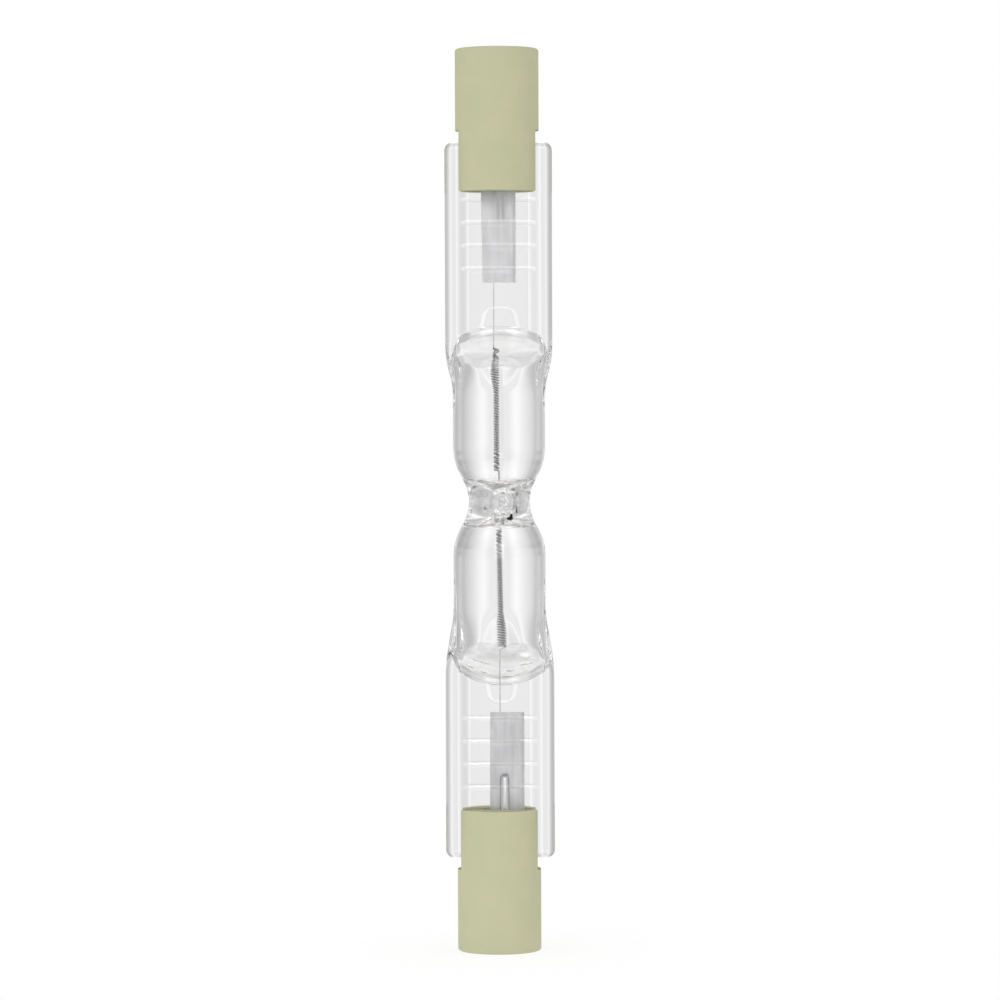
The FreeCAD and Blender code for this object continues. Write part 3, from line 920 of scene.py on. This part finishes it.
def sealCement():
    material, tree, shader = newMaterial("sealCement")
    lumps = grain(tree, 2600, 6.0, roughness=0.7)
    color = shades(tree, lumps, [(0.3, (0.60, 0.575, 0.50)), (0.7, (0.76, 0.735, 0.66))])
    tree.links.new(color, shader.inputs["Base Color"])
    shader.inputs["Roughness"].default_value = 0.9
    relief(tree, shader, lumps, 0.5, 0.00008)
    return material


def metalFinish(name, marks, dark, light, roughness, strength):
    # marks are the size, detail and stretch of what the work left on the metal
    material, tree, shader = newMaterial(name)
    worked = grain(tree, *marks)
    color = shades(tree, worked, [(0.3, dark), (0.7, light)])
    tree.links.new(color, shader.inputs["Base Color"])
    shader.inputs["Metallic"].default_value = 1.0
    shader.inputs["Roughness"].default_value = roughness
    relief(tree, shader, worked, strength, 0.00002)
    return material


def rolledFoil():
    marks = (1500, 4.0, (1, 1, 0.12))
    return metalFinish("rolledFoil", marks, (0.47, 0.47, 0.48), (0.62, 0.62, 0.63), 0.42, 0.25)


def leadMetal():
    marks = (2400, 3.0, (1, 1, 0.06))
    return metalFinish("leadMetal", marks, (0.62, 0.62, 0.63), (0.82, 0.82, 0.83), 0.3, 0.2)


def plating():
    marks = (1800, 5.0)
    return metalFinish("plating", marks, (0.58, 0.57, 0.54), (0.74, 0.73, 0.7), 0.33, 0.15)


def tungsten():
    material, tree, shader = newMaterial("tungsten")
    drawn = grain(tree, 6000, 3.0)
    coil = shades(tree, drawn, [(0.3, (0.26, 0.26, 0.265)), (0.7, (0.42, 0.42, 0.43))])
    leg = shades(tree, drawn, [(0.3, (0.62, 0.62, 0.62)), (0.7, (0.74, 0.74, 0.74))])
    # the coils are coloured darker than the legs, which stay bright
    place = addNode(tree, "ShaderNodeTexCoord").outputs["Object"]
    dark, bright = filament["bright"]
    share = mapped(tree, fromMiddle(tree, place), dark * mm, bright * mm, 0, 1)
    color = addNode(tree, "ShaderNodeMixRGB")
    tree.links.new(share, color.inputs["Fac"])
    tree.links.new(coil, color.inputs["Color1"])
    tree.links.new(leg, color.inputs["Color2"])
    tree.links.new(color.outputs["Color"], shader.inputs["Base Color"])
    shader.inputs["Metallic"].default_value = 1.0
    shader.inputs["Roughness"].default_value = 0.38
    return material


glass = quartzGlass()
ceramic = steatite()
cement = sealCement()
foilFinish = rolledFoil()
leadFinish = leadMetal()
wireFinish = tungsten()
contactFinish = plating()
dress(tube, glass)
dress(wound, wireFinish)
for end in ("upper", "lower"):
    dress(foils[end], foilFinish)
    dress(leads[end], leadFinish)
    dress(nodes[end + "_cap"], ceramic)
    dress(nodes[end + "_contact"], contactFinish)
    dress(nodes[end + "_cement"], cement)
print("materials done")


# camera, light and floor

shot = {
    "distance": 380.0,
    "height": 48.5,
    "field": 13.04,
    "aim": (0.158, 0.037),
    "roll": -0.21,
}

studio = {
    "ambient": 0.86,
    # brightness round the lamp, in degrees from straight behind it to its right
    "behind": [(-180, 1.0), (-165, 1.2), (-138, 1.3), (-100, 0.85), (-58, 0.75), (-42, 0.58)]
    + [(-27, 0.47), (-17, 0.5), (-10.5, 0.63), (-7, 0.75), (-5, 0.83), (-3.2, 0.98)]
    + [(-2.2, 0.88), (-1.4, 0.8), (-0.6, 0.845), (0.6, 0.845), (1.4, 0.8), (2.2, 0.88)]
    + [(3.2, 1.0), (5, 0.88), (7, 0.82), (10.5, 0.72), (17, 0.58), (27, 0.51)]
    + [(42, 0.6), (58, 0.75), (100, 0.85), (138, 1.3), (165, 1.2), (180, 1.0)],
    "upright": [(-90, 1.8), (-60, 1.8), (-42, 1.35), (-32, 1.0), (-20, 0.8), (-12, 0.82)]
    + [(-6, 1.0), (5, 1.0), (11, 0.8), (20, 0.78), (32, 1.0), (42, 1.35), (60, 1.8), (90, 1.8)],
    # a strip light in front, above the lens
    "front": [(-180, 1), (-172, 1), (-165, 0), (165, 0), (172, 1), (180, 1)],
    "strip": [(-90, 0), (8, 0), (14, 4), (24, 4), (32, 0), (90, 0)],
    "keyPower": 0.55,
    "keySize": 0.3,
    "keyPlace": (-0.3, -0.45, 0.06),
    "keyColor": (1.0, 1.0, 0.98),
    "fillPower": 0.11,
    "fillPlace": (0.35, -0.3, 0.0),
    "fillColor": (1.0, 0.95, 0.87),
    "floorSolid": 0.006,
    "floorReach": 0.05,
    "floorGlow": 0.74,
    "bounces": 48,
}


def makeCamera():
    data = bpy.data.cameras.new("camera")
    camera = bpy.data.objects.new("camera", data)
    bpy.context.scene.collection.objects.link(camera)
    data.sensor_fit = "HORIZONTAL"
    data.angle = math.radians(shot["field"])
    data.clip_start = 0.01
    data.clip_end = 10
    spot = Vector((0, -shot["distance"], shot["height"])) * mm
    across, up = shot["aim"]
    target = Vector((across, 0, middle + up)) * mm
    camera.location = spot
    facing = (target - spot).normalized()
    camera.rotation_mode = "QUATERNION"
    level = facing.to_track_quat("-Z", "Y")
    camera.rotation_quaternion = level @ Quaternion((0, 0, 1), math.radians(shot["roll"]))
    bpy.context.scene.camera = camera
    return facing


def curveNode(tree, value, points, low, high):
    # a smooth line of brightness against an angle in degrees
    span = addNode(tree, "ShaderNodeMapRange")
    span.inputs["From Min"].default_value = math.radians(low)
    span.inputs["From Max"].default_value = math.radians(high)
    tree.links.new(value, span.inputs["Value"])
    ramp = addNode(tree, "ShaderNodeValToRGB")
    ramp.color_ramp.interpolation = "EASE"
    band = ramp.color_ramp
    while len(band.elements) < len(points):
        band.elements.new(0.5)
    for element, (place, level) in zip(band.elements, points):
        element.position = (place - low) / (high - low)
        element.color = (level, level, level, 1)
    tree.links.new(span.outputs["Result"], ramp.inputs["Fac"])
    return ramp.outputs["Color"]


def makeWorld(facing):
    world = bpy.data.worlds.new("studio")
    bpy.context.scene.world = world
    world.use_nodes = True
    tree = world.node_tree
    light = tree.nodes["Background"]
    place = addNode(tree, "ShaderNodeTexCoord")
    parts = addNode(tree, "ShaderNodeSeparateXYZ")
    tree.links.new(place.outputs["Generated"], parts.inputs["Vector"])
    level = addNode(tree, "ShaderNodeCombineXYZ")
    tree.links.new(parts.outputs["X"], level.inputs["X"])
    tree.links.new(parts.outputs["Y"], level.inputs["Y"])
    unit = reckonVector(tree, "NORMALIZE", level.outputs["Vector"])
    ahead = Vector((facing.x, facing.y, 0)).normalized()
    right = Vector((ahead.y, -ahead.x, 0))
    sides = [reckonVector(tree, "DOT_PRODUCT", unit, direction) for direction in (right, ahead)]
    swing = reckon(tree, "ARCTAN2", *sides)
    lift = reckon(tree, "ARCSINE", parts.outputs["Z"])
    around = curveNode(tree, swing, studio["behind"], -180, 180)
    upright = curveNode(tree, lift, studio["upright"], -90, 90)
    front = curveNode(tree, swing, studio["front"], -180, 180)
    strip = curveNode(tree, lift, studio["strip"], -90, 90)
    soft = reckon(tree, "MULTIPLY", around, upright)
    seen = reckon(tree, "ADD", soft, reckon(tree, "MULTIPLY", front, strip))

    # glass and metal see this studio, other surfaces an even light, and the camera white
    path = addNode(tree, "ShaderNodeLightPath").outputs
    through = reckon(tree, "MAXIMUM", path["Is Glossy Ray"], path["Is Transmission Ray"])
    mixSeen = addNode(tree, "ShaderNodeMix", data_type="FLOAT")
    mixSeen.inputs["A"].default_value = studio["ambient"]
    tree.links.new(through, mixSeen.inputs["Factor"])
    tree.links.new(seen, mixSeen.inputs["B"])
    mixCamera = addNode(tree, "ShaderNodeMix", data_type="FLOAT")
    mixCamera.inputs["B"].default_value = 1.0
    tree.links.new(path["Is Camera Ray"], mixCamera.inputs["Factor"])
    tree.links.new(mixSeen.outputs["Result"], mixCamera.inputs["A"])
    tree.links.new(mixCamera.outputs["Result"], light.inputs["Strength"])
    light.inputs["Color"].default_value = (1, 1, 1, 1)


def makeLamp(name, place, power, size, color):
    data = bpy.data.lights.new(name, "AREA")
    data.energy = power
    data.size = size
    data.color = color
    lamp = bpy.data.objects.new(name, data)
    bpy.context.scene.collection.objects.link(lamp)
    lamp.location = place
    lamp.rotation_mode = "QUATERNION"
    lamp.rotation_quaternion = (Vector((0, 0, middle * mm)) - Vector(place)).to_track_quat("-Z", "Y")
    lamp.visible_glossy = False
    lamp.visible_transmission = False


def makeFloor():
    clearSelection()
    bpy.ops.mesh.primitive_circle_add(vertices=96, radius=studio["floorReach"], fill_type="NGON")
    floor = bpy.context.object
    floor.name = "floor"
    material = bpy.data.materials.new("paleFloor")
    material.use_nodes = True
    tree = material.node_tree
    tree.nodes.remove(tree.nodes["Principled BSDF"])
    place = addNode(tree, "ShaderNodeTexCoord")
    length = reckonVector(tree, "LENGTH", place.outputs["Object"])
    fade = mapped(tree, length, studio["floorSolid"], studio["floorReach"], 0, 1)
    cloth = addNode(tree, "ShaderNodeBsdfDiffuse")
    cloth.inputs["Color"].default_value = (0.3, 0.3, 0.3, 1)
    glow = addNode(tree, "ShaderNodeEmission")
    glow.inputs["Strength"].default_value = studio["floorGlow"]
    both = addNode(tree, "ShaderNodeAddShader")
    tree.links.new(cloth.outputs["BSDF"], both.inputs[0])
    tree.links.new(glow.outputs["Emission"], both.inputs[1])
    clear = addNode(tree, "ShaderNodeBsdfTransparent")
    mix = mixed(tree, fade, both, clear)
    tree.links.new(mix.outputs["Shader"], tree.nodes["Material Output"].inputs["Surface"])
    dress(floor, material)


facing = makeCamera()
makeWorld(facing)
makeLamp("keyLamp", studio["keyPlace"], studio["keyPower"], studio["keySize"], studio["keyColor"])
makeLamp("fillLamp", studio["fillPlace"], studio["fillPower"], studio["keySize"], studio["fillColor"])
makeFloor()
bpy.context.scene.view_settings.view_transform = "Standard"
bpy.context.scene.cycles.max_bounces = studio["bounces"]
bpy.context.scene.cycles.glossy_bounces = studio["bounces"]
bpy.context.scene.cycles.transmission_bounces = studio["bounces"]
print("camera, light and floor set")

bpy.context.view_layer.update()
